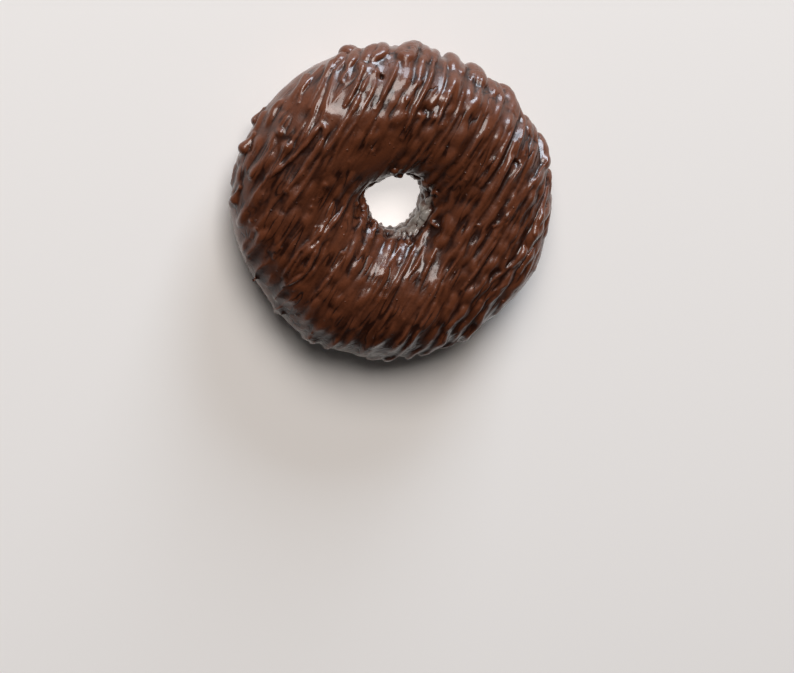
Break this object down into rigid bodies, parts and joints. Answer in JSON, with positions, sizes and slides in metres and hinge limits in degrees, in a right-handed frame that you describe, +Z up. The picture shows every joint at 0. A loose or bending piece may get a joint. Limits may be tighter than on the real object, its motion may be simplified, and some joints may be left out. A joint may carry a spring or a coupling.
{
  "type": "chocolate glazed doughnut",
  "caption": "Ring doughnut glazed all over in dark chocolate, with thick chocolate drizzle across its face; it lies on its back, face up.",
  "frame": {"origin": "on the surface the doughnut lies on, under the middle of its outline as seen from above", "axes": "+Z up through the hole, out of the drizzled face; +Y to the edge that is uppermost when it stands on its rim; +X to the right of that, seen from the face"},
  "size_m": [0.0918, 0.0918, 0.0285],
  "materials": {
    "chocolate_glaze": "set dark chocolate with a soft shine, brighter on the crests of the drizzle"
  },
  "bodies": {
    "root": {"doughnut": "chocolate_glaze"}
  },
  "joints": []
}
